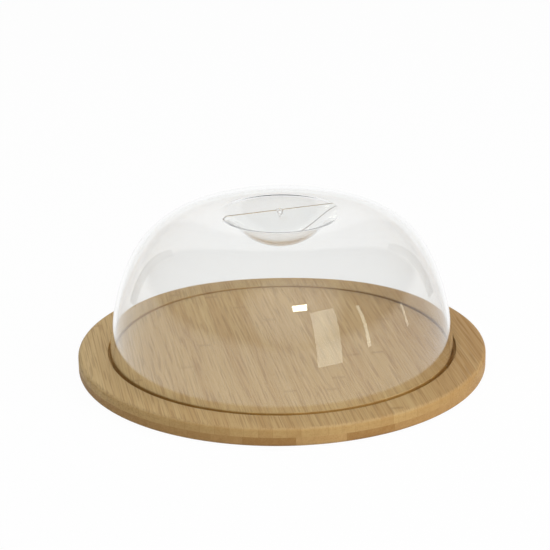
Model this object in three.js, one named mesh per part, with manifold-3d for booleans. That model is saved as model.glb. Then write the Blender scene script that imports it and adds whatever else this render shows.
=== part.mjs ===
// Round laminated-bamboo cheese board with a clear moulded dome.
// Millimetres, +Z up. The origin is the centre of the board's underside.

import * as THREE from 'three';
import { mergeVertices } from 'three/addons/utils/BufferGeometryUtils.js';
import Module from 'manifold-3d';

// Dome: a one-piece clear moulding, open below
const DOME_DIAMETER = 203;          // outside, at the rim that stands on the board
const DOME_HEIGHT = 84.7;           // rim to the lip of the grip recess
const DOME_WALL = 2;
const WALL_LEAN = 4.5;              // how far the wall leans in at the height where the shoulder pulls
const WALL_PULL = 61;               // height up to which the rim's direction carries the wall
const SHOULDER_PULL = 40;           // reach of the crown outwards from the grip recess
const CROWN_DIP = 3.6;              // rise of the crown that the recess lip falls back from

// Grip: a round bowl sunk in the crown, with a web across it to pinch
const GRIP_DIAMETER = 71;           // across the lip
const GRIP_DEPTH = 15.3;            // lip to the bowl's floor
const LIP_UNDERSIDE_ROUND = 6;      // radius of the lip on its underside
const BOWL_SLOPE = 20;              // degrees, bowl's side just below the lip
const SIDE_PULL = 11;               // how far that slope carries the bowl's side
const FLOOR_PULL = 17;              // how far the flat floor carries outwards from the axis
const FLOOR_WALL = 2.4;             // bowl's wall grows to this at its floor
const WEB_THICKNESS = 1;
const WEB_LENGTH = 65;              // along the top edge
const WEB_RISE = 2;                 // web's top edge above the lip
const WEB_TURN = 9;                 // degrees, web from the X axis
const WEB_ROOT = 0.5;               // part of the bowl's wall that the web goes into
const GATE_BOSS_DIAMETER = 4.4;     // top of the boss in the web where the moulding is filled
const GATE_BOSS_DEPTH = 5;          // boss tapers to the web's thickness in this depth
const GATE_WELL_DIAMETER = 2;
const GATE_WELL_DEPTH = 3;

// Board: two plies of glued strips, turned round, with a ring groove for the dome's rim
const TOP_PLY = 5.5;
const BOTTOM_PLY = 5.5;
const TOP_STRIP_WIDTH = 7.5;
const BOTTOM_STRIP_WIDTH = 28;
const GROOVE_DEPTH = 2.75;
const RIM_GAP_OUTSIDE = 1;          // groove wall to the dome's rim
const RIM_GAP_INSIDE = 0.8;
const GROOVE_BREAK = 0.4;           // sanded break on the groove's edges
const BORDER = 17.5;                // flat ring outside the groove
const EDGE_ROUND = 2;               // rounding of the board's outer edges

// Facets
const BOARD_SEGMENTS = 96;
const DOME_SEGMENTS = 72;
const WALL_STEPS = 14;
const LIP_STEPS = 2;
const BOWL_STEPS = 9;
const ROUND_STEPS = 3;
const WEB_EDGE_STEPS = 6;
const BOSS_SEGMENTS = 16;
const MERGE_DISTANCE = 1e-4;        // lengths that differ by less than this are the same
const CUT_MARGIN = 1;               // how far a cutting solid runs past the faces that it cuts

// Finishes
const BAMBOO_TOP = ['#b99c6c', '#c2a574', '#b3945f', '#bfa06f'];
const BAMBOO_BOTTOM = ['#ab8348', '#8f6736', '#a37a42'];
const BAMBOO_ROUGHNESS = 0.55;
const CLEAR_PLASTIC = '#f2f5f4';
const PLASTIC_ROUGHNESS = 0.06;
const PLASTIC_OPACITY = 0.25;

// Derived sizes
const domeRadius = DOME_DIAMETER / 2;
const gripRadius = GRIP_DIAMETER / 2;
const boardThickness = TOP_PLY + BOTTOM_PLY;
const seatHeight = boardThickness - GROOVE_DEPTH;
const grooveOuter = domeRadius + RIM_GAP_OUTSIDE;
const grooveInner = domeRadius - DOME_WALL - RIM_GAP_INSIDE;
const boardRadius = grooveOuter + BORDER;
const lipRound = DOME_WALL + LIP_UNDERSIDE_ROUND;
const bowlSlope = THREE.MathUtils.degToRad(BOWL_SLOPE);
const webTop = DOME_HEIGHT + WEB_RISE;
const quarterTurn = Math.PI / 2;

const wasm = await Module();
wasm.setup();

// A closed solid from a geometry: shared corners merged, collapsed triangles dropped.
function toSolid(geometry) {
  const bare = geometry.clone();
  bare.deleteAttribute('normal');
  bare.deleteAttribute('uv');
  const merged = mergeVertices(bare, MERGE_DISTANCE);
  const index = merged.index.array;
  const triangles = [];
  for (let i = 0; i < index.length; i += 3) {
    const [a, b, c] = [index[i], index[i + 1], index[i + 2]];
    if (a !== b && b !== c && c !== a) triangles.push(a, b, c);
  }
  return new wasm.Manifold(new wasm.Mesh({
    numProp: 3,
    vertProperties: new Float32Array(merged.attributes.position.array),
    triVerts: new Uint32Array(triangles),
  }));
}

function toGeometry(solid) {
  const mesh = solid.getMesh();
  const geometry = new THREE.BufferGeometry();
  geometry.setAttribute('position', new THREE.BufferAttribute(mesh.vertProperties, 3));
  geometry.setIndex(new THREE.BufferAttribute(mesh.triVerts, 1));
  geometry.computeVertexNormals();
  return geometry;
}

// A body of revolution about Z from (radius, height) points, listed counter-clockwise.
function revolve(points, segments) {
  return toSolid(new THREE.LatheGeometry(points, segments).rotateX(quarterTurn));
}

// Points along a curve, each with the normal that faces out of the wall and the wall's thickness there.
function alongCurve(curve, steps, firstWall, lastWall) {
  const points = [];
  for (let i = 0; i <= steps; i++) {
    const along = curve.getTangent(i / steps);
    points.push({
      place: curve.getPoint(i / steps),
      normal: new THREE.Vector2(along.y, -along.x),
      wall: THREE.MathUtils.lerp(firstWall, lastWall, i / steps),
    });
  }
  return points;
}

// The dome's outer surface from the rim up and over the crown, round the lip and down into the bowl.
function domeSurface() {
  const surface = alongCurve(new THREE.CubicBezierCurve(
    new THREE.Vector2(domeRadius, 0),
    new THREE.Vector2(domeRadius - WALL_LEAN, WALL_PULL),
    new THREE.Vector2(gripRadius + SHOULDER_PULL, DOME_HEIGHT + CROWN_DIP),
    new THREE.Vector2(gripRadius, DOME_HEIGHT),
  ), WALL_STEPS, DOME_WALL, DOME_WALL);

  const crown = surface[WALL_STEPS];
  const start = Math.atan2(-crown.normal.x, crown.normal.y);
  const centre = crown.place.clone().addScaledVector(crown.normal, -lipRound);
  for (let i = 1; i <= LIP_STEPS; i++) {
    const turn = THREE.MathUtils.lerp(start, bowlSlope, i / LIP_STEPS);
    const normal = new THREE.Vector2(-Math.sin(turn), Math.cos(turn));
    surface.push({ place: centre.clone().addScaledVector(normal, lipRound), normal, wall: DOME_WALL });
  }

  const side = surface[WALL_STEPS + LIP_STEPS].place;
  const bowlFloor = DOME_HEIGHT - GRIP_DEPTH;
  const bowl = alongCurve(new THREE.CubicBezierCurve(
    side,
    new THREE.Vector2(side.x - SIDE_PULL * Math.cos(bowlSlope), side.y - SIDE_PULL * Math.sin(bowlSlope)),
    new THREE.Vector2(FLOOR_PULL, bowlFloor),
    new THREE.Vector2(0, bowlFloor),
  ), BOWL_STEPS, DOME_WALL, FLOOR_WALL);
  return [...surface, ...bowl.slice(1)];
}

// The surface moved into the wall by a part of the wall's thickness, with its last point kept on the axis.
function sunk(surface, part) {
  const points = surface.map((spot) => spot.place.clone().addScaledVector(spot.normal, -part * spot.wall));
  points[points.length - 1].x = 0;
  return points;
}

// The web stands in the bowl's wall, and its ends slope down to the lip.
function gripWeb(surface) {
  const half = WEB_THICKNESS / 2;
  const section = new THREE.Shape();
  section.moveTo(-half, 0);
  section.lineTo(half, 0);
  section.lineTo(half, webTop - half);
  section.absarc(0, webTop - half, half, 0, Math.PI, false);
  section.closePath();
  const plate = new THREE.ExtrudeGeometry(section, {
    depth: GRIP_DIAMETER, bevelEnabled: false, curveSegments: WEB_EDGE_STEPS,
  });
  plate.translate(0, 0, -gripRadius).rotateX(quarterTurn).rotateZ(quarterTurn);
  const room = [
    ...sunk(surface.slice(WALL_STEPS), WEB_ROOT).reverse(),
    new THREE.Vector2(WEB_LENGTH / 2, webTop),
    new THREE.Vector2(WEB_LENGTH / 2, webTop + CUT_MARGIN),
    new THREE.Vector2(0, webTop + CUT_MARGIN),
  ];
  return toSolid(plate).intersect(revolve(room, DOME_SEGMENTS));
}

// The boss that the moulding is filled through, flush with the web's top edge.
function gateBoss() {
  const boss = new THREE.CylinderGeometry(
    GATE_BOSS_DIAMETER / 2, WEB_THICKNESS / 2, GATE_BOSS_DEPTH, BOSS_SEGMENTS,
  );
  return toSolid(boss.rotateX(quarterTurn).translate(0, 0, webTop - GATE_BOSS_DEPTH / 2));
}

// The well's cutter, half of it above the boss.
function gateWell() {
  const well = new THREE.CylinderGeometry(
    GATE_WELL_DIAMETER / 2, GATE_WELL_DIAMETER / 2, 2 * GATE_WELL_DEPTH, BOSS_SEGMENTS,
  );
  return toSolid(well.rotateX(quarterTurn).translate(0, 0, webTop));
}

function domeGeometry() {
  const surface = domeSurface();
  const outside = surface.map(({ place }) => place);
  const underside = sunk(surface, 1);
  underside[0].set(domeRadius - DOME_WALL, 0);
  const shell = revolve([...underside.reverse(), ...outside], DOME_SEGMENTS);
  const moulding = shell.add(gripWeb(surface)).add(gateBoss()).subtract(gateWell());
  return toGeometry(moulding).rotateZ(THREE.MathUtils.degToRad(WEB_TURN));
}

// The board before it is shown as strips: rounded edges and the ring groove.
function boardBlank() {
  const points = [new THREE.Vector2(0, 0)];
  const edges = [[EDGE_ROUND, -quarterTurn], [boardThickness - EDGE_ROUND, 0]];
  for (const [centreHeight, start] of edges) {
    for (let i = 0; i <= ROUND_STEPS; i++) {
      const turn = start + quarterTurn * (i / ROUND_STEPS);
      points.push(new THREE.Vector2(
        boardRadius - EDGE_ROUND + EDGE_ROUND * Math.cos(turn),
        centreHeight + EDGE_ROUND * Math.sin(turn),
      ));
    }
  }
  points.push(
    new THREE.Vector2(grooveOuter + GROOVE_BREAK, boardThickness),
    new THREE.Vector2(grooveOuter, boardThickness - GROOVE_BREAK),
    new THREE.Vector2(grooveOuter, seatHeight),
    new THREE.Vector2(grooveInner, seatHeight),
    new THREE.Vector2(grooveInner, boardThickness - GROOVE_BREAK),
    new THREE.Vector2(grooveInner - GROOVE_BREAK, boardThickness),
    new THREE.Vector2(0, boardThickness),
  );
  return revolve(points, BOARD_SEGMENTS);
}

// One ply as strips side by side along Y, laid so that the outer two are at least half a strip wide.
function plyStrips(blank, name, width, low, high, colours) {
  const ply = new THREE.Group();
  const strips = Math.floor((2 * boardRadius) / width + 1 + MERGE_DISTANCE);
  for (let number = 1; number <= strips; number++) {
    const slab = new THREE.BoxGeometry(width, 2 * (boardRadius + CUT_MARGIN), high - low);
    slab.translate((number - (strips + 1) / 2) * width, 0, (low + high) / 2);
    const material = new THREE.MeshStandardMaterial({
      color: colours[number % colours.length], roughness: BAMBOO_ROUGHNESS, metalness: 0,
    });
    const strip = new THREE.Mesh(toGeometry(blank.intersect(toSolid(slab))), material);
    strip.name = `${name}_${String(number).padStart(2, '0')}`;
    ply.add(strip);
  }
  return ply;
}

const board = new THREE.Group();
const blank = boardBlank();
board.add(plyStrips(blank, 'bottom_strip', BOTTOM_STRIP_WIDTH, 0, BOTTOM_PLY, BAMBOO_BOTTOM));
board.add(plyStrips(blank, 'top_strip', TOP_STRIP_WIDTH, BOTTOM_PLY, boardThickness, BAMBOO_TOP));

const dome = new THREE.Mesh(domeGeometry(), new THREE.MeshStandardMaterial({
  color: CLEAR_PLASTIC,
  roughness: PLASTIC_ROUGHNESS,
  metalness: 0,
  transparent: true,
  opacity: PLASTIC_OPACITY,
}));
dome.name = 'dome_cover';
dome.position.z = seatHeight;

const cheeseBoard = new THREE.Group();
cheeseBoard.add(board, dome);

export default cheeseBoard;
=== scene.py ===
"""Round laminated-bamboo cheese board with a clear moulded dome: its visual model and a studio.

Metres, +Z up. The origin is the centre of the board's underside, Y runs along the bamboo strips.
"""

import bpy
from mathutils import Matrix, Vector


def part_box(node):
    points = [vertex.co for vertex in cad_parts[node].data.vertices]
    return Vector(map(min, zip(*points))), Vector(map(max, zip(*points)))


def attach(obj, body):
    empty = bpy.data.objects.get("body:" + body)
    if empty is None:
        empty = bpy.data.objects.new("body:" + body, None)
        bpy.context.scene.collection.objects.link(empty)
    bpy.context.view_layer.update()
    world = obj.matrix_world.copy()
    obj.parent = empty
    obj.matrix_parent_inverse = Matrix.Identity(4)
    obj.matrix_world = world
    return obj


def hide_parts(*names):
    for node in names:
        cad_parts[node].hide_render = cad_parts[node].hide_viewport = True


bl_info = {
    "name": "Domed Cheese Board",
    "version": (1, 0, 0),
    "blender": (4, 5, 0),
    "location": "View3D > Sidebar > Cheese Board",
    "description": "Models a round bamboo cheese board with a clear dome, and a studio for it",
    "category": "Add Mesh",
}

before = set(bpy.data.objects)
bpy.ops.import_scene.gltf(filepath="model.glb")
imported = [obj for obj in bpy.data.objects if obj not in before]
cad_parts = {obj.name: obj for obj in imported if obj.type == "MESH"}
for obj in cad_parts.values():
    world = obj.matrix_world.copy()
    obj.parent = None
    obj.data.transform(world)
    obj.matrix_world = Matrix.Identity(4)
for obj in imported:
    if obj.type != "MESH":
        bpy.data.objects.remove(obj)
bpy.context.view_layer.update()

import math
import random

import bmesh
import bpy
from bpy.props import FloatProperty, FloatVectorProperty, IntProperty, PointerProperty
from mathutils import Matrix, Vector

MM = 0.001
MERGE_DISTANCE = 1e-6
SHARP_ANGLE = math.radians(30)
QUARTER_TURN = math.pi / 2
FULL_TURN = 2 * math.pi
PHOTO_PIXELS = 550
SENSOR_WIDTH = 36.0

# Light that is caught inside a clear wall leaves it again, so that its lip doesn't turn black.
CLEAR_BOUNCES = 32

# Sockets whose names their node uses more than once, by their places.
FROM_MIN, FROM_MAX, TO_MIN, TO_MAX = 1, 2, 3, 4     # Map Range
FACTOR, COLOUR_A, COLOUR_B = 0, 6, 7                # Mix, with its colour at MIXED_COLOUR
MIXED_COLOUR = 2

TOP_STRIPS = sorted(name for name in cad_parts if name.startswith("top_strip_"))
BOTTOM_STRIPS = sorted(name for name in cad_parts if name.startswith("bottom_strip_"))
DOME_NODE = "dome_cover"


def middle_box(names):
    """The box of a ply's middle strip: its width, the board's radius and the ply's faces."""
    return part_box(names[len(names) // 2])


TOP_LOW, TOP_HIGH = middle_box(TOP_STRIPS)
BOTTOM_LOW, BOTTOM_HIGH = middle_box(BOTTOM_STRIPS)
SEAT_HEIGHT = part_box(DOME_NODE)[0].z

# The lamps' names, places, widths, depths and powers, in metres and watts.
LAMP_AIM = Vector((0, 0, 0.04))
LAMPS = (
    ("overhead", (0, 0.1, 1.5), 2.0, 2.0, 20),
    ("left", (-1.3, -0.7, 0.8), 1.0, 1.0, 3),
    ("right", (1.2, -0.9, 0.7), 1.0, 1.0, 17),
    ("front", (0.1, -1.6, 0.55), 1.0, 0.6, 4.5),
)
MIRRORED_SOFTBOXES = (
    ("softbox", (0.13, -1.67, 1.28), 0.34, 0.19, 5.5),
    ("panel", (0.72, -1.9, 0.61), 0.62, 1.2, 7.4),
    ("strip_near", (1.51, -1.33, 0.555), 0.084, 0.89, 1.1),
    ("strip_far", (2.04, -0.28, 0.245), 0.06, 0.4, 0.26),
)
# The dark cards' names, turns from the backdrop's middle and leans in degrees, and colours.
FLAGS = (
    ("flag_left", 69, 12, "#0c0c0c"),
    ("flag_right", -65, -12, "#a0a0a0"),
)


def linear(hex_colour):
    """An sRGB hex colour as linear red, green and blue."""
    parts = [int(hex_colour[i:i + 2], 16) / 255 for i in (1, 3, 5)]
    return tuple(c / 12.92 if c <= 0.04045 else ((c + 0.055) / 1.055) ** 2.4 for c in parts)


def length(name, millimetres, description):
    """A length property whose default is a real size in millimetres."""
    return FloatProperty(
        name=name, description=description, default=millimetres * MM, unit="LENGTH", precision=5
    )


def angle(name, degrees, description):
    """An angle property whose default is in degrees."""
    return FloatProperty(
        name=name, description=description, default=math.radians(degrees), subtype="ANGLE"
    )


def colour(name, hex_colour, description):
    """A colour property whose default is an sRGB hex value."""
    return FloatVectorProperty(
        name=name, description=description, default=linear(hex_colour), subtype="COLOR"
    )


def share(name, default, description):
    """A property from 0 to 1."""
    return FloatProperty(
        name=name, description=description, default=default, min=0, max=1, subtype="FACTOR"
    )


def count(name, default, least, description):
    """A whole number with its least value."""
    return IntProperty(name=name, description=description, default=default, min=least)


class CHEESEBOARD_PG_board(bpy.types.PropertyGroup):
    """Sizes of the two-ply board and its ring groove."""

    radius: length("Radius", TOP_HIGH.y / MM, "Radius of the board")
    thickness: length("Thickness", TOP_HIGH.z / MM, "Both plies together")
    ply_joint: length("Ply joint", TOP_LOW.z / MM, "Height of the glue line between the plies")
    top_strip: length(
        "Top strip", (TOP_HIGH.x - TOP_LOW.x) / MM, "Width of a strip of the top ply"
    )
    bottom_strip: length(
        "Bottom strip", (BOTTOM_HIGH.x - BOTTOM_LOW.x) / MM, "Width of a strip of the bottom ply"
    )
    seat: length("Seat", SEAT_HEIGHT / MM, "Height of the groove's floor, on which the dome stands")
    rim_gap_outside: length("Gap outside rim", 1, "From the dome's rim to the groove's outer wall")
    rim_gap_inside: length("Gap inside rim", 0.8, "From the dome's rim to the groove's inner wall")
    groove_break: length("Groove break", 0.4, "Sanded break on the groove's edges")
    edge_round: length("Edge round", 2, "Rounding of the board's outer edges")
    edge_steps: count("Edge steps", 6, 1, "Faces round each edge")
    turn_steps: count("Turn steps", 288, 12, "Faces round the board")


class CHEESEBOARD_PG_dome(bpy.types.PropertyGroup):
    """Sizes of the clear dome and its recessed grip."""

    diameter: length("Diameter", 203, "Outside, at the rim that stands on the board")
    height: length("Height", 84.7, "Rim to the lip of the grip recess")
    wall: length("Wall", 2, "Thickness of the moulding")
    wall_lean: length("Wall lean", 4.5, "How far the wall leans in over the height of its pull")
    wall_pull: length("Wall pull", 61, "Height up to which the rim's direction carries the wall")
    shoulder_pull: length("Shoulder pull", 40, "Reach of the crown outwards from the grip recess")
    crown_dip: length("Crown dip", 3.6, "Rise of the crown that the recess lip falls back from")
    rim_round: length("Rim round", 0.5, "Rounding of the rim's two edges")
    grip_diameter: length("Grip diameter", 71, "Across the lip of the recess")
    grip_depth: length("Grip depth", 15.3, "Lip to the bowl's floor")
    lip_underside: length("Lip underside", 6, "Radius of the lip on its underside")
    bowl_slope: angle("Bowl slope", 20, "Slope of the bowl's side just below the lip")
    side_pull: length("Side pull", 11, "How far that slope carries the bowl's side")
    floor_pull: length("Floor pull", 17, "How far the flat floor carries outwards from the axis")
    floor_wall: length("Floor wall", 2.4, "Thickness of the bowl's floor, to which its wall grows")
    web: length("Web", 1, "Thickness of the web across the recess")
    web_length: length("Web length", 65, "Length of the web's top edge")
    web_rise: length("Web rise", 2, "The web's top edge above the lip")
    web_turn: angle("Web turn", 9, "The web's turn from the X axis")
    web_root: share("Web root", 0.5, "Part of the bowl's wall that the web goes into")
    boss_diameter: length("Boss diameter", 4.4, "Top of the boss where the moulding is filled")
    boss_depth: length("Boss depth", 5, "Depth in which the boss tapers to the web's thickness")
    well_diameter: length("Well diameter", 2, "The small well in the boss")
    well_depth: length("Well depth", 3, "Depth of that well")
    wall_steps: count("Wall steps", 48, 4, "Faces up the wall")
    lip_steps: count("Lip steps", 10, 2, "Faces over the lip")
    bowl_steps: count("Bowl steps", 24, 4, "Faces down the bowl")
    rim_steps: count("Rim steps", 3, 1, "Faces round each edge of the rim")
    web_steps: count("Web steps", 6, 1, "Faces round each top edge of the web")
    boss_steps: count("Boss steps", 48, 12, "Faces round the boss and its well")
    turn_steps: count("Turn steps", 256, 12, "Faces round the dome")


class CHEESEBOARD_PG_finish(bpy.types.PropertyGroup):
    """Colours of the bamboo and the plastic."""

    top_pale: colour("Top pale", "#c8ad7f", "Pale strips of the top ply")
    top_deep: colour("Top deep", "#a37c4b", "Deep strips of the top ply")
    bottom_pale: colour("Bottom pale", "#bf9f72", "Pale strips of the bottom ply")
    bottom_deep: colour("Bottom deep", "#8f6634", "Steamed, darker strips of the bottom ply")
    vessel: colour("Vessels", "#76502a", "Dark vessels, knuckles and glue lines in the bamboo")
    burnish: colour("Burnish", "#fff8e4", "Warm tint that the cutter leaves on upright faces")
    # A brown tint for the ring groove: partly the cutter's browning, partly painted shade in the
    # recess.
    scorch_and_groove_shade: colour("Scorch", "#e9d8be", "Brown tint that the cutter leaves in the ring groove")
    plastic: colour("Plastic", "#fbfcfc", "Tint of the clear plastic")
    lamp_pass: share("Lamp pass", 0.93, "Light that passes each face of the plastic square on")


class CHEESEBOARD_PG_studio(bpy.types.PropertyGroup):
    """The camera, the floor and the room that the dome mirrors."""

    distance: length("Camera distance", 1200, "From the board's centre to the camera")
    azimuth: angle("Azimuth", -10, "Camera's turn round the board")
    elevation: angle("Elevation", 22.64, "Camera's height as an angle")
    roll: angle("Roll", 0.85, "Camera's turn about its own line of sight")
    focal_pixels: FloatProperty(
        name="Focal pixels", description="Focal length in picture pixels", default=2021.0
    )
    aim_height: length("Aim height", 54.6, "Point on the board's axis that the camera is aimed at")
    aim_side: length("Aim side", -3.4, "That point's shift to the camera's right")
    floor_size: length("Floor size", 12000, "Edge of the floor")
    floor_drop: length("Floor drop", 0.1, "From the board's underside down to the floor")
    floor_white: share("Floor white", 0.97, "Part of the floor's look that takes no shadow")
    floor_colour: colour("Floor colour", "#e8e8e8", "The part that takes the shadow")
    mirror_tint: colour("Mirror tint", "#f9fde8", "Colour of the softboxes that the dome mirrors")
    flag_width: length("Flag width", 60, "Width of the dark cards beside the board")
    flag_height: length("Flag height", 280, "Height of those cards")
    flag_foot: length("Flag foot", 32, "From the floor to the cards' lower edge")
    flag_distance: length("Flag distance", 355, "From the board's centre to a card")
    dim: share("Dim", 0.4, "How bright the dome mirrors the unlit parts of the room")
    front_light: FloatProperty(
        name="Front light", description="How bright the window light in front is", default=1.2
    )


def add_node(tree, kind, inputs=None, **settings):
    """Adds a node, sets its settings, and sets or links its inputs by their names or places."""
    node = tree.nodes.new(kind)
    for name, value in settings.items():
        setattr(node, name, value)
    for key, value in (inputs or {}).items():
        if isinstance(value, bpy.types.NodeSocket):
            tree.links.new(value, node.inputs[key])
        else:
            node.inputs[key].default_value = value
    return node


def new_material(name):
    """An empty node material and its tree."""
    material = bpy.data.materials.new(name)
    material.use_nodes = True
    material.node_tree.nodes.clear()
    return material, material.node_tree


def rgba(linear_colour):
    """A linear colour with full alpha, as a colour socket takes it."""
    return (*linear_colour, 1.0)


def bamboo(name, pale, deep, finish, strip_width, groove):
    """Laminated bamboo, sanded and lightly oiled: strips of their own tone, each with fine long
    fibres, dark vessels that show as dashes along the strip and faint dots on its ends, a knuckle
    here and there, upright faces that the cutter has burnished a little warmer, and a groove
    painted darker brown, partly the cutter's browning and partly painted shade in the recess."""
    fibre = Vector((0.9, 80, 0.9)) * MM
    band = Vector((3, 160, 3)) * MM
    vessels = Vector((0.8, 26, 0.8)) * MM
    fine_detail, plain_detail = 2, 0
    knuckle_half = 2.5 * MM
    knuckle_reach = 300 * MM
    glue_line = 0.2 * MM            # drawn twice as wide as the real film, so that it shows
    strip_shift = 3.0               # metres of bamboo between one strip's grain and the next one's
    band_tone_range, fibre_tone_range = 0.08, 0.16
    vessel_depth, knuckle_depth, glue_depth = 0.28, 0.35, 0.3
    end_share = 0.35                # how much of the fibres and vessels shows on a strip's ends
    noise_span = {FROM_MIN: 0.3, FROM_MAX: 0.7}
    vessel_span = {FROM_MIN: 0.57, FROM_MAX: 0.65}
    facing_span = {FROM_MIN: 0.3, FROM_MAX: 0.8}
    smooth, rough = 0.5, 0.64
    sanding_depth = 0.06 * MM

    material, tree = new_material(name)
    here = add_node(tree, "ShaderNodeTexCoord")
    place = here.outputs["Object"]
    tone = add_node(tree, "ShaderNodeAttribute", attribute_name="strip_tone").outputs["Fac"]
    seed = add_node(tree, "ShaderNodeAttribute", attribute_name="strip_seed").outputs["Fac"]
    along = add_node(
        tree, "ShaderNodeMath", {0: seed, 1: strip_shift}, operation="MULTIPLY"
    ).outputs[0]
    shift = add_node(tree, "ShaderNodeCombineXYZ", {"Y": along}).outputs[0]
    own_place = add_node(
        tree, "ShaderNodeVectorMath", {0: place, 1: shift}, operation="ADD"
    ).outputs[0]

    grains = []
    for grain, detail in ((band, fine_detail), (fibre, fine_detail), (vessels, plain_detail)):
        scaled = add_node(
            tree, "ShaderNodeVectorMath", {0: own_place, 1: tuple(1 / size for size in grain)},
            operation="MULTIPLY",
        ).outputs[0]
        noise = add_node(
            tree, "ShaderNodeTexNoise", {"Vector": scaled, "Scale": 1.0, "Detail": detail}
        )
        grains.append(noise.outputs["Fac"])
    bands, fibres, dashes = grains

    facing = add_node(tree, "ShaderNodeSeparateXYZ", {0: here.outputs["Normal"]}).outputs
    end_on = add_node(tree, "ShaderNodeMath", {0: facing["Y"]}, operation="ABSOLUTE").outputs[0]
    level = add_node(tree, "ShaderNodeMath", {0: facing["Z"]}, operation="ABSOLUTE").outputs[0]
    upright_face = add_node(
        tree, "ShaderNodeMapRange", {"Value": level, **facing_span, TO_MIN: 1.0, TO_MAX: 0.0}
    ).outputs[0]
    fine = add_node(
        tree, "ShaderNodeMapRange", {"Value": end_on, **facing_span, TO_MIN: 1.0, TO_MAX: end_share}
    ).outputs[0]

    band_tone = add_node(
        tree, "ShaderNodeMapRange",
        {"Value": bands, **noise_span, TO_MIN: -band_tone_range, TO_MAX: band_tone_range},
    ).outputs[0]
    fibre_tone = add_node(
        tree, "ShaderNodeMapRange",
        {"Value": fibres, **noise_span, TO_MIN: -fibre_tone_range, TO_MAX: fibre_tone_range},
    ).outputs[0]
    fibre_tone = add_node(
        tree, "ShaderNodeMath", {0: fibre_tone, 1: fine}, operation="MULTIPLY"
    ).outputs[0]
    mixed_tone = tone
    for part in (band_tone, fibre_tone):
        mixed_tone = add_node(
            tree, "ShaderNodeMath", {0: mixed_tone, 1: part}, operation="ADD"
        ).outputs[0]
    body = add_node(
        tree, "ShaderNodeMix", {FACTOR: mixed_tone, COLOUR_A: rgba(pale), COLOUR_B: rgba(deep)},
        data_type="RGBA", clamp_factor=False,
    ).outputs[MIXED_COLOUR]

    dash = add_node(
        tree, "ShaderNodeMapRange",
        {"Value": dashes, **vessel_span, TO_MIN: 0.0, TO_MAX: vessel_depth},
    ).outputs[0]
    dash = add_node(tree, "ShaderNodeMath", {0: dash, 1: fine}, operation="MULTIPLY").outputs[0]
    parts = add_node(tree, "ShaderNodeSeparateXYZ", {0: place}).outputs
    spot = add_node(
        tree, "ShaderNodeTexWhiteNoise", {"W": seed}, noise_dimensions="1D"
    ).outputs["Value"]
    spot_place = add_node(
        tree, "ShaderNodeMapRange",
        {"Value": spot, TO_MIN: -knuckle_reach / 2, TO_MAX: knuckle_reach / 2},
    ).outputs[0]
    apart = add_node(
        tree, "ShaderNodeMath", {0: parts["Y"], 1: spot_place}, operation="SUBTRACT"
    ).outputs[0]
    away = add_node(tree, "ShaderNodeMath", {0: apart}, operation="ABSOLUTE").outputs[0]
    knuckle = add_node(
        tree, "ShaderNodeMapRange",
        {"Value": away, FROM_MIN: 0.0, FROM_MAX: knuckle_half, TO_MIN: knuckle_depth, TO_MAX: 0.0},
        interpolation_type="SMOOTHSTEP",
    ).outputs[0]
    strips_across = add_node(
        tree, "ShaderNodeMath", {0: parts["X"], 1: strip_width}, operation="DIVIDE"
    ).outputs[0]
    from_edge = add_node(
        tree, "ShaderNodeMath", {0: strips_across, 1: 0.5}, operation="ADD"
    ).outputs[0]
    from_joint = add_node(
        tree, "ShaderNodeMath", {0: from_edge, 1: 0.5}, operation="PINGPONG"
    ).outputs[0]
    joint = add_node(
        tree, "ShaderNodeMapRange",
        {
            "Value": from_joint, FROM_MIN: 0.0, FROM_MAX: glue_line / strip_width,
            TO_MIN: glue_depth, TO_MAX: 0.0,
        },
    ).outputs[0]
    marks = dash
    for mark in (knuckle, joint):
        marks = add_node(
            tree, "ShaderNodeMath", {0: marks, 1: mark}, operation="MAXIMUM"
        ).outputs[0]
    wood = add_node(
        tree, "ShaderNodeMix", {FACTOR: marks, COLOUR_A: body, COLOUR_B: rgba(finish.vessel)},
        data_type="RGBA",
    ).outputs[MIXED_COLOUR]

    flat = add_node(
        tree, "ShaderNodeVectorMath", {0: place, 1: (1, 1, 0)}, operation="MULTIPLY"
    ).outputs[0]
    from_axis = add_node(
        tree, "ShaderNodeVectorMath", {0: flat}, operation="LENGTH"
    ).outputs["Value"]
    middle, half = groove
    in_ring = add_node(
        tree, "ShaderNodeMath", {0: from_axis, 1: middle.x, 2: half.x}, operation="COMPARE"
    ).outputs[0]
    in_depth = add_node(
        tree, "ShaderNodeMath", {0: parts["Z"], 1: middle.y, 2: half.y}, operation="COMPARE"
    ).outputs[0]
    # Mask of the ring groove, where the brown tint paints the recess's shade and the cutter's
    # browning.
    groove_scorch_and_shade = add_node(
        tree, "ShaderNodeMath", {0: in_ring, 1: in_depth}, operation="MULTIPLY"
    ).outputs[0]
    # Upright faces get the warm burnish; the groove gets painted shade mixed with the cutter's
    # browning.
    for where, tint in ((upright_face, finish.burnish), (groove_scorch_and_shade, finish.scorch_and_groove_shade)):
        wood = add_node(
            tree, "ShaderNodeMix", {FACTOR: where, COLOUR_A: wood, COLOUR_B: rgba(tint)},
            data_type="RGBA", blend_type="MULTIPLY",
        ).outputs[MIXED_COLOUR]

    roughness = add_node(
        tree, "ShaderNodeMapRange", {"Value": fibres, **noise_span, TO_MIN: smooth, TO_MAX: rough}
    ).outputs[0]
    sanded = add_node(
        tree, "ShaderNodeBump", {"Height": fibres, "Strength": 0.25, "Distance": sanding_depth}
    ).outputs[0]
    surface = add_node(
        tree, "ShaderNodeBsdfPrincipled",
        {"Base Color": wood, "Roughness": roughness, "Normal": sanded, "Specular IOR Level": 0.2},
    ).outputs[0]
    add_node(tree, "ShaderNodeOutputMaterial", {"Surface": surface})
    return material


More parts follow.
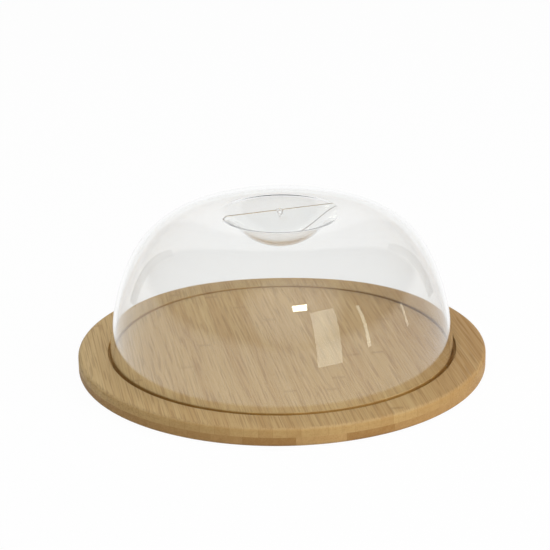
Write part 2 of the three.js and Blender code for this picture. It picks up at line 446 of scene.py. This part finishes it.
def clear_polystyrene(name, tint, lamp_pass):
    """Clear polystyrene, moulded in a polished tool: a bright, slightly uneven gloss that lets the
    lamps through, less so at a glancing angle."""
    unevenness = 35 * MM
    polished, worn = 0.012, 0.03
    glance_power = 5.0

    material, tree = new_material(name)
    place = add_node(tree, "ShaderNodeTexCoord").outputs["Object"]
    flow = add_node(
        tree, "ShaderNodeTexNoise", {"Vector": place, "Scale": 1 / unevenness, "Detail": 1}
    ).outputs["Fac"]
    roughness = add_node(
        tree, "ShaderNodeMapRange",
        {"Value": flow, FROM_MIN: 0.3, FROM_MAX: 0.7, TO_MIN: polished, TO_MAX: worn},
    ).outputs[0]
    plastic = add_node(
        tree, "ShaderNodeBsdfPrincipled",
        {"Base Color": rgba(tint), "Roughness": roughness, "IOR": 1.57, "Transmission Weight": 1.0},
    ).outputs[0]
    slant = add_node(tree, "ShaderNodeLayerWeight", {"Blend": 0.5}).outputs["Facing"]
    glance = add_node(
        tree, "ShaderNodeMath", {0: slant, 1: glance_power}, operation="POWER"
    ).outputs[0]
    passed = add_node(
        tree, "ShaderNodeMapRange", {"Value": glance, TO_MIN: lamp_pass, TO_MAX: 0.0}
    ).outputs[0]
    lamps = add_node(tree, "ShaderNodeBsdfTransparent", {"Color": passed}).outputs[0]
    from_lamp = add_node(tree, "ShaderNodeLightPath").outputs["Is Shadow Ray"]
    surface = add_node(
        tree, "ShaderNodeMixShader", {0: from_lamp, 1: plastic, 2: lamps}
    ).outputs[0]
    add_node(tree, "ShaderNodeOutputMaterial", {"Surface": surface})
    return material


def revolve(outline, steps):
    """A bmesh made by turning (radius, height) points round the Z axis, with its poles closed."""
    bm = bmesh.new()
    verts = [bm.verts.new((radius, 0, height)) for radius, height in outline]
    edges = [bm.edges.new(pair) for pair in zip(verts, verts[1:])]
    bmesh.ops.spin(
        bm, geom=verts + edges, cent=(0, 0, 0), axis=(0, 0, 1), angle=FULL_TURN, steps=steps,
        use_merge=True,
    )
    bmesh.ops.remove_doubles(bm, verts=bm.verts, dist=MERGE_DISTANCE)
    bmesh.ops.recalc_face_normals(bm, faces=bm.faces)
    return bm


def cut_flat(bm, point, normal):
    """Cuts away what lies beyond a plane and closes the cut."""
    cut = bmesh.ops.bisect_plane(
        bm, geom=[*bm.verts, *bm.edges, *bm.faces], dist=MERGE_DISTANCE,
        plane_co=point, plane_no=normal, clear_outer=True,
    )
    edges = [part for part in cut["geom_cut"] if isinstance(part, bmesh.types.BMEdge)]
    bmesh.ops.holes_fill(bm, edges=edges)


def make_piece(name, bm, material):
    """An object from a bmesh, smooth except at its real corners."""
    bmesh.ops.remove_doubles(bm, verts=bm.verts, dist=MERGE_DISTANCE)
    bmesh.ops.recalc_face_normals(bm, faces=bm.faces)
    mesh = bpy.data.meshes.new(name)
    bm.to_mesh(mesh)
    bm.free()
    mesh.shade_smooth()
    mesh.set_sharp_from_angle(angle=SHARP_ANGLE)
    mesh.materials.append(material)
    piece = bpy.data.objects.new(name, mesh)
    bpy.context.scene.collection.objects.link(piece)
    return piece


def groove_radii(board, dome):
    """The ring groove's outer and inner radius."""
    rim = dome.diameter / 2
    return rim + board.rim_gap_outside, rim - dome.wall - board.rim_gap_inside


def board_outline(board, dome):
    """Half of the board's section, from the axis below to the axis above: rounded outer edges and
    the ring groove."""
    groove_outer, groove_inner = groove_radii(board, dome)
    flat_end = board.radius - board.edge_round
    held = 0.15 * board.edge_round      # flat faces stay flat up to here when shaded smooth
    outline = [(0, 0), (flat_end - held, 0)]
    lower_edge = board.edge_round, -QUARTER_TURN
    upper_edge = board.thickness - board.edge_round, 0
    for centre_height, start in (lower_edge, upper_edge):
        for step in range(board.edge_steps + 1):
            turn = start + QUARTER_TURN * step / board.edge_steps
            outline.append((
                flat_end + board.edge_round * math.cos(turn),
                centre_height + board.edge_round * math.sin(turn),
            ))
    outline += [
        (flat_end - held, board.thickness),
        (groove_outer + board.groove_break, board.thickness),
        (groove_outer, board.thickness - board.groove_break),
        (groove_outer, board.seat),
        (groove_inner, board.seat),
        (groove_inner, board.thickness - board.groove_break),
        (groove_inner - board.groove_break, board.thickness),
        (0, board.thickness),
    ]
    return outline


def groove_zone(board, dome):
    """The ring groove's middle radius and height, and half of its width and depth with a hair to
    spare."""
    outer_radius, inner_radius = groove_radii(board, dome)
    outer = Vector((outer_radius, board.thickness))
    inner = Vector((inner_radius, board.seat))
    hair = 0.05 * MM
    return (outer + inner) / 2, (outer - inner) / 2 + Vector((hair, hair))


def make_strips(board, dome, nodes, ply_plane, tones, material):
    """Cuts a ply into strips, one piece for each CAD strip, each with its own tone and grain."""
    ply = revolve(board_outline(board, dome), board.turn_steps)
    cut_flat(ply, (0, 0, board.ply_joint), ply_plane)
    grain = random.Random(nodes[0])
    last_cut = board.radius - board.groove_break    # past it, a strip keeps the round side
    for node, tone in zip(nodes, tones):
        low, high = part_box(node)
        bm = ply.copy()
        if low.x > -last_cut:
            cut_flat(bm, (low.x, 0, 0), (-1, 0, 0))
        if high.x < last_cut:
            cut_flat(bm, (high.x, 0, 0), (1, 0, 0))
        strip = make_piece(f"bamboo_{node}", bm, material)
        for name, value in (("strip_tone", tone), ("strip_seed", grain.random())):
            mark = strip.data.attributes.new(name, "FLOAT", "POINT")
            mark.data.foreach_set("value", [value] * len(strip.data.vertices))
        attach(strip, "board")
        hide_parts(node)
    ply.free()


def along_curve(ends, steps, first_wall, last_wall):
    """Places on a cubic curve that four points control, each with its outward normal and the wall's
    thickness there."""
    a, b, c, d = ends
    surface = []
    for step in range(steps + 1):
        t = step / steps
        s = 1 - t
        place = s ** 3 * a + 3 * s * s * t * b + 3 * s * t * t * c + t ** 3 * d
        along = s * s * (b - a) + 2 * s * t * (c - b) + t * t * (d - c)
        normal = Vector((along.y, -along.x)).normalized()
        surface.append((place, normal, s * first_wall + t * last_wall))
    return surface


def dome_surface(dome):
    """The dome's outer surface in two parts: the wall up to the lip, then the lip and the bowl."""
    rim, lip = dome.diameter / 2, dome.grip_diameter / 2
    wall = along_curve([
        Vector((rim, 0)),
        Vector((rim - dome.wall_lean, dome.wall_pull)),
        Vector((lip + dome.shoulder_pull, dome.height + dome.crown_dip)),
        Vector((lip, dome.height)),
    ], dome.wall_steps, dome.wall, dome.wall)

    crown, crown_normal, _ = wall[-1]
    lip_round = dome.wall + dome.lip_underside
    centre = crown - lip_round * crown_normal
    start = math.atan2(-crown_normal.x, crown_normal.y)
    grip = []
    for step in range(1, dome.lip_steps + 1):
        turn = start + (dome.bowl_slope - start) * step / dome.lip_steps
        normal = Vector((-math.sin(turn), math.cos(turn)))
        grip.append((centre + lip_round * normal, normal, dome.wall))

    side = grip[-1][0]
    floor = Vector((0, dome.height - dome.grip_depth))
    grip += along_curve([
        side,
        side - dome.side_pull * Vector((math.cos(dome.bowl_slope), math.sin(dome.bowl_slope))),
        floor + Vector((dome.floor_pull, 0)),
        floor,
    ], dome.bowl_steps, dome.wall, dome.floor_wall)[1:]
    return wall, grip


def sunk(surface, part):
    """A surface's places moved into the wall by a part of the wall's thickness."""
    return [place - part * thickness * normal for place, normal, thickness in surface]


def dome_shell(dome):
    """The dome without its web: the outer surface, its underside, and a rounded rim."""
    wall, grip = dome_surface(dome)
    inside = sunk(wall + grip, 1)
    inside[0] = Vector((dome.diameter / 2 - dome.wall, 0))
    inside[-1].x = 0
    bm = revolve([*reversed(sunk(wall + grip, 0)), *inside], dome.turn_steps)
    rings = [
        edge for edge in bm.edges
        if all(abs(v.co.z) < MERGE_DISTANCE for v in edge.verts)
        and abs(edge.verts[0].co.xy.length - edge.verts[1].co.xy.length) < MERGE_DISTANCE
    ]
    bmesh.ops.bevel(
        bm, geom=rings, offset=dome.rim_round, affect="EDGES", segments=dome.rim_steps,
        profile=0.5, material=-1,
    )
    return bm


def grip_web(dome):
    """The web that is pinched to lift the dome: it stands in the bowl's wall and has a round top
    edge."""
    wall, grip = dome_surface(dome)
    half = dome.web / 2
    edge_round = 0.95 * half        # just short of half, so that the two rounds don't meet
    foot = sunk([wall[-1], *grip], dome.web_root)
    top = Vector((dome.web_length / 2, dome.height + dome.web_rise))
    right = [top, *foot[:-1]]
    left = [Vector((-place.x, place.y)) for place in reversed(right)]
    outline = [*right, Vector((0, foot[-1].y)), *left]
    bm = bmesh.new()
    face = bm.faces.new([bm.verts.new((place.x, -half, place.y)) for place in outline])
    raised = bmesh.ops.extrude_face_region(bm, geom=[face])["geom"]
    raised_verts = [part for part in raised if isinstance(part, bmesh.types.BMVert)]
    bmesh.ops.translate(bm, vec=(0, dome.web, 0), verts=raised_verts)
    bmesh.ops.recalc_face_normals(bm, faces=bm.faces)
    long_edges = [
        edge for edge in bm.edges
        if all(abs(v.co.z - top.y) < MERGE_DISTANCE for v in edge.verts)
        and abs(edge.verts[0].co.x - edge.verts[1].co.x) > dome.web
    ]
    bmesh.ops.bevel(
        bm, geom=long_edges, offset=edge_round, affect="EDGES", segments=dome.web_steps,
        profile=0.5, material=-1,
    )
    return bm


def upright_bar(low_radius, high_radius, low, high, steps):
    """A round bar or taper on the Z axis between two heights."""
    bm = bmesh.new()
    bmesh.ops.create_cone(
        bm, cap_ends=True, segments=steps, radius1=low_radius, radius2=high_radius,
        depth=high - low, matrix=Matrix.Translation((0, 0, (low + high) / 2)),
    )
    return bm


def combine(piece, tool, operation):
    """Joins a tool object to a piece, or cuts it out, and removes the tool."""
    modifier = piece.modifiers.new("combine", "BOOLEAN")
    modifier.object = tool
    modifier.operation = operation
    modifier.solver = "EXACT"
    shaped = piece.evaluated_get(bpy.context.evaluated_depsgraph_get())
    mesh = bpy.data.meshes.new_from_object(shaped)
    piece.modifiers.remove(modifier)
    old = piece.data
    piece.data = mesh
    bpy.data.meshes.remove(old)
    bpy.data.objects.remove(tool)


class CHEESEBOARD_OT_top_ply(bpy.types.Operator):
    """Make the narrow strips of the top ply, with the dome's ring groove in them"""

    bl_idname = "cheese_board.top_ply"
    bl_label = "Top Ply Strips"

    def execute(self, context):
        board, dome = context.scene.cheese_board, context.scene.cheese_dome
        finish = context.scene.cheese_finish
        material = bamboo(
            "bamboo_narrow_strips", finish.top_pale, finish.top_deep, finish, board.top_strip,
            groove_zone(board, dome),
        )
        # Tones run from pale at 0 to deep at 1, paler towards -X and deeper towards +X.
        middle_tone, side_tone, spread = 0.4, 0.4, 0.1
        tone = random.Random("narrow strips")
        across = [2 * i / (len(TOP_STRIPS) - 1) - 1 for i in range(len(TOP_STRIPS))]
        tones = [
            middle_tone + side_tone * side ** 3 + spread * (2 * tone.random() - 1)
            for side in across
        ]
        make_strips(board, dome, TOP_STRIPS, (0, 0, -1), tones, material)
        return {"FINISHED"}


class CHEESEBOARD_OT_bottom_ply(bpy.types.Operator):
    """Make the wide strips of the bottom ply, some of them steamed darker"""

    bl_idname = "cheese_board.bottom_ply"
    bl_label = "Bottom Ply Strips"

    def execute(self, context):
        board, dome = context.scene.cheese_board, context.scene.cheese_dome
        finish = context.scene.cheese_finish
        material = bamboo(
            "bamboo_wide_strips", finish.bottom_pale, finish.bottom_deep, finish,
            board.bottom_strip, groove_zone(board, dome),
        )
        # A pale strip in the middle stands between two steamed ones.
        pale_tone, plain_tone, steamed_tone = 0.1, 0.35, 0.6
        middle = len(BOTTOM_STRIPS) // 2
        tones = [plain_tone] * len(BOTTOM_STRIPS)
        tones[middle - 1:middle + 2] = steamed_tone, pale_tone, steamed_tone
        make_strips(board, dome, BOTTOM_STRIPS, (0, 0, 1), tones, material)
        return {"FINISHED"}


class CHEESEBOARD_OT_dome(bpy.types.Operator):
    """Make the clear dome with its sunk grip bowl, the web across it and the filling boss"""

    bl_idname = "cheese_board.dome"
    bl_label = "Clear Dome"

    def execute(self, context):
        dome, finish = context.scene.cheese_dome, context.scene.cheese_finish
        seat = context.scene.cheese_board.seat
        material = clear_polystyrene("clear_polystyrene", finish.plastic, finish.lamp_pass)
        top = dome.height + dome.web_rise
        piece = make_piece("clear_dome", dome_shell(dome), material)
        boss = upright_bar(
            dome.web / 2, dome.boss_diameter / 2, top - dome.boss_depth, top, dome.boss_steps
        )
        bore = dome.well_diameter / 2
        well = upright_bar(
            bore, bore, top - dome.well_depth, top + dome.well_depth, dome.boss_steps
        )
        combine(piece, make_piece("grip_web", grip_web(dome), material), "UNION")
        combine(piece, make_piece("filling_boss", boss, material), "UNION")
        combine(piece, make_piece("filling_well", well, material), "DIFFERENCE")
        piece.data.transform(
            Matrix.Translation((0, 0, seat)) @ Matrix.Rotation(dome.web_turn, 4, "Z")
        )
        piece.data.shade_smooth()
        piece.data.set_sharp_from_angle(angle=SHARP_ANGLE)
        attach(piece, "dome")
        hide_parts(DOME_NODE)
        return {"FINISHED"}


def seen_directly(tree):
    """1 where the camera sees a surface itself, through the clear plastic or in a reflection, and 0
    for the light that a matt surface gathers."""
    path = add_node(tree, "ShaderNodeLightPath").outputs
    mirrored = add_node(
        tree, "ShaderNodeMath", {0: path["Is Glossy Ray"], 1: path["Is Transmission Ray"]},
        operation="MAXIMUM",
    ).outputs[0]
    seen = add_node(
        tree, "ShaderNodeMath", {0: path["Is Camera Ray"], 1: mirrored}, operation="MAXIMUM"
    ).outputs[0]
    before_matt = add_node(
        tree, "ShaderNodeMath", {0: path["Diffuse Depth"], 1: 0.5}, operation="LESS_THAN"
    ).outputs[0]
    return add_node(
        tree, "ShaderNodeMath", {0: seen, 1: before_matt}, operation="MULTIPLY"
    ).outputs[0]


def make_floor(studio):
    """A wide white floor under the board that keeps the board's shadow."""
    material, tree = new_material("white_floor")
    seen = seen_directly(tree)
    plain = add_node(
        tree, "ShaderNodeMath", {0: seen, 1: studio.floor_white}, operation="MULTIPLY"
    ).outputs[0]
    matt = add_node(tree, "ShaderNodeBsdfDiffuse", {"Color": rgba(studio.floor_colour)}).outputs[0]
    white = add_node(
        tree, "ShaderNodeEmission", {"Color": rgba(linear("#ffffff")), "Strength": 1.0}
    ).outputs[0]
    surface = add_node(tree, "ShaderNodeMixShader", {0: plain, 1: matt, 2: white}).outputs[0]
    add_node(tree, "ShaderNodeOutputMaterial", {"Surface": surface})
    bm = bmesh.new()
    bmesh.ops.create_grid(
        bm, x_segments=1, y_segments=1, size=studio.floor_size / 2,
        matrix=Matrix.Translation((0, 0, -studio.floor_drop)),
    )
    floor = make_piece("floor", bm, material)


def make_room(scene, studio):
    """The room as the dome mirrors it: a white horizon, a backdrop behind the board that is white
    in its middle and dims towards its edge, soft window light in front and dim walls between them.
    The lamps light the object."""
    below = Vector((0, 0, -1))
    backdrop = Vector((-math.sin(studio.azimuth), math.cos(studio.azimuth), 0))
    window = Vector((0, -0.77, 0.64))
    # Each part's middle, the degrees from it where its light ends and where it is full, and how
    # bright it is there.
    parts = (
        (below, 110, 96, 1.0),
        (backdrop, 62, 52, 0.86),
        (backdrop, 36, 20, 1.0),
        (window, 45, 15, studio.front_light),
    )
    world = bpy.data.worlds.new("room")
    world.use_nodes = True
    tree = world.node_tree
    tree.nodes.clear()
    towards = add_node(tree, "ShaderNodeTexCoord").outputs["Generated"]
    bright = studio.dim
    for middle, end, full, level in parts:
        near = add_node(
            tree, "ShaderNodeVectorMath", {0: towards, 1: middle}, operation="DOT_PRODUCT"
        ).outputs["Value"]
        part = add_node(
            tree, "ShaderNodeMapRange",
            {
                "Value": near,
                FROM_MIN: math.cos(math.radians(end)), FROM_MAX: math.cos(math.radians(full)),
                TO_MIN: 0.0, TO_MAX: level,
            },
            interpolation_type="SMOOTHSTEP",
        ).outputs[0]
        bright = add_node(
            tree, "ShaderNodeMath", {0: bright, 1: part}, operation="MAXIMUM"
        ).outputs[0]
    strength = add_node(
        tree, "ShaderNodeMath", {0: seen_directly(tree), 1: bright}, operation="MULTIPLY"
    ).outputs[0]
    room = add_node(
        tree, "ShaderNodeBackground", {"Color": rgba(linear("#ffffff")), "Strength": strength}
    ).outputs[0]
    add_node(tree, "ShaderNodeOutputWorld", {"Surface": room})
    scene.world = world


def add_flag(name, turn, lean, tone, studio):
    """A dark card beside the board that only the dome's gloss shows, as a line that draws the
    dome's side."""
    material, tree = new_material(name)
    matt = add_node(tree, "ShaderNodeBsdfDiffuse", {"Color": rgba(linear(tone))}).outputs[0]
    add_node(tree, "ShaderNodeOutputMaterial", {"Surface": matt})
    bm = bmesh.new()
    bmesh.ops.create_grid(
        bm, x_segments=1, y_segments=1, size=0.5,
        matrix=Matrix.Rotation(studio.azimuth + math.radians(turn), 4, "Z")
        @ Matrix.Translation((0, studio.flag_distance, 0))
        @ Matrix.Rotation(math.radians(lean), 4, "Y")
        @ Matrix.Translation((0, 0, studio.flag_foot + studio.flag_height / 2))
        @ Matrix.Rotation(QUARTER_TURN, 4, "X")
        @ Matrix.Diagonal((studio.flag_width, studio.flag_height, 1, 1)),
    )
    flag = make_piece(name, bm, material)
    for sight in ("camera", "diffuse", "transmission", "shadow"):
        setattr(flag, f"visible_{sight}", False)


def add_lamp(name, place, width, depth, power, mirror_tint=None):
    """A soft lamp that lights the object or, with a tint, a softbox that only shows in the dome's
    gloss."""
    mirrored = mirror_tint is not None
    data = bpy.data.lights.new(name, "AREA")
    data.shape = "RECTANGLE"
    data.size, data.size_y = width, depth
    data.energy = power
    if mirrored:
        data.color = mirror_tint
    # With it on, a lamp's light that comes through the dome is only counted in part.
    data.cycles.use_multiple_importance_sampling = mirrored
    lamp = bpy.data.objects.new(name, data)
    lamp.location = place
    lamp.rotation_euler = (LAMP_AIM - Vector(place)).to_track_quat("-Z", "Y").to_euler()
    lamp.visible_camera = False
    lamp.visible_transmission = False
    lamp.visible_glossy = mirrored
    lamp.visible_diffuse = not mirrored
    bpy.context.scene.collection.objects.link(lamp)


def make_camera(scene, studio):
    """The camera, aimed so that the object stands in the picture as it was photographed."""
    data = bpy.data.cameras.new("camera")
    data.sensor_width = SENSOR_WIDTH
    data.lens = studio.focal_pixels * SENSOR_WIDTH / PHOTO_PIXELS
    camera = bpy.data.objects.new("camera", data)
    a, e = studio.azimuth, studio.elevation
    right = Vector((math.cos(a), math.sin(a), 0))
    back = Vector((math.sin(a) * math.cos(e), -math.cos(a) * math.cos(e), math.sin(e)))
    camera.location = studio.distance * back
    aim = Vector((0, 0, studio.aim_height)) + studio.aim_side * right
    turn = (aim - camera.location).to_track_quat("-Z", "Y")
    camera.rotation_mode = "QUATERNION"
    camera.rotation_quaternion = turn @ Matrix.Rotation(-studio.roll, 3, "Z").to_quaternion()
    scene.collection.objects.link(camera)
    scene.camera = camera


class CHEESEBOARD_OT_studio(bpy.types.Operator):
    """Make the floor, the room, the dark cards, the lamps and the camera"""

    bl_idname = "cheese_board.studio"
    bl_label = "Studio"

    def execute(self, context):
        scene, studio = context.scene, context.scene.cheese_studio
        scene.view_settings.view_transform = "Standard"
        scene.cycles.max_bounces = CLEAR_BOUNCES
        scene.cycles.glossy_bounces = CLEAR_BOUNCES
        scene.cycles.transmission_bounces = CLEAR_BOUNCES
        make_camera(scene, studio)
        make_floor(studio)
        make_room(scene, studio)
        for flag in FLAGS:
            add_flag(*flag, studio)
        for lamp in LAMPS:
            add_lamp(*lamp)
        for softbox in MIRRORED_SOFTBOXES:
            add_lamp(*softbox, studio.mirror_tint)
        return {"FINISHED"}


class CHEESEBOARD_PT_sidebar(bpy.types.Panel):
    """The sidebar panel with every piece and its sizes."""

    bl_label = "Domed Cheese Board"
    bl_space_type = "VIEW_3D"
    bl_region_type = "UI"
    bl_category = "Cheese Board"

    def draw(self, context):
        layout = self.layout
        for operator in OPERATORS:
            layout.operator(operator.bl_idname)
        for name in SETTINGS:
            settings = getattr(context.scene, name)
            box = layout.box()
            for key in settings.__annotations__:
                box.prop(settings, key)


SETTINGS = {
    "cheese_board": CHEESEBOARD_PG_board,
    "cheese_dome": CHEESEBOARD_PG_dome,
    "cheese_finish": CHEESEBOARD_PG_finish,
    "cheese_studio": CHEESEBOARD_PG_studio,
}
OPERATORS = (
    CHEESEBOARD_OT_studio,
    CHEESEBOARD_OT_bottom_ply,
    CHEESEBOARD_OT_top_ply,
    CHEESEBOARD_OT_dome,
)
CLASSES = (*SETTINGS.values(), *OPERATORS, CHEESEBOARD_PT_sidebar)


def register():
    for cls in CLASSES:
        bpy.utils.register_class(cls)
    for name, group in SETTINGS.items():
        setattr(bpy.types.Scene, name, PointerProperty(type=group))


def unregister():
    for name in SETTINGS:
        delattr(bpy.types.Scene, name)
    for cls in reversed(CLASSES):
        bpy.utils.unregister_class(cls)


def main():
    register()
    bpy.ops.cheese_board.studio()
    bpy.ops.cheese_board.bottom_ply()
    bpy.ops.cheese_board.top_ply()
    bpy.ops.cheese_board.dome()


if __name__ == "__main__":
    main()
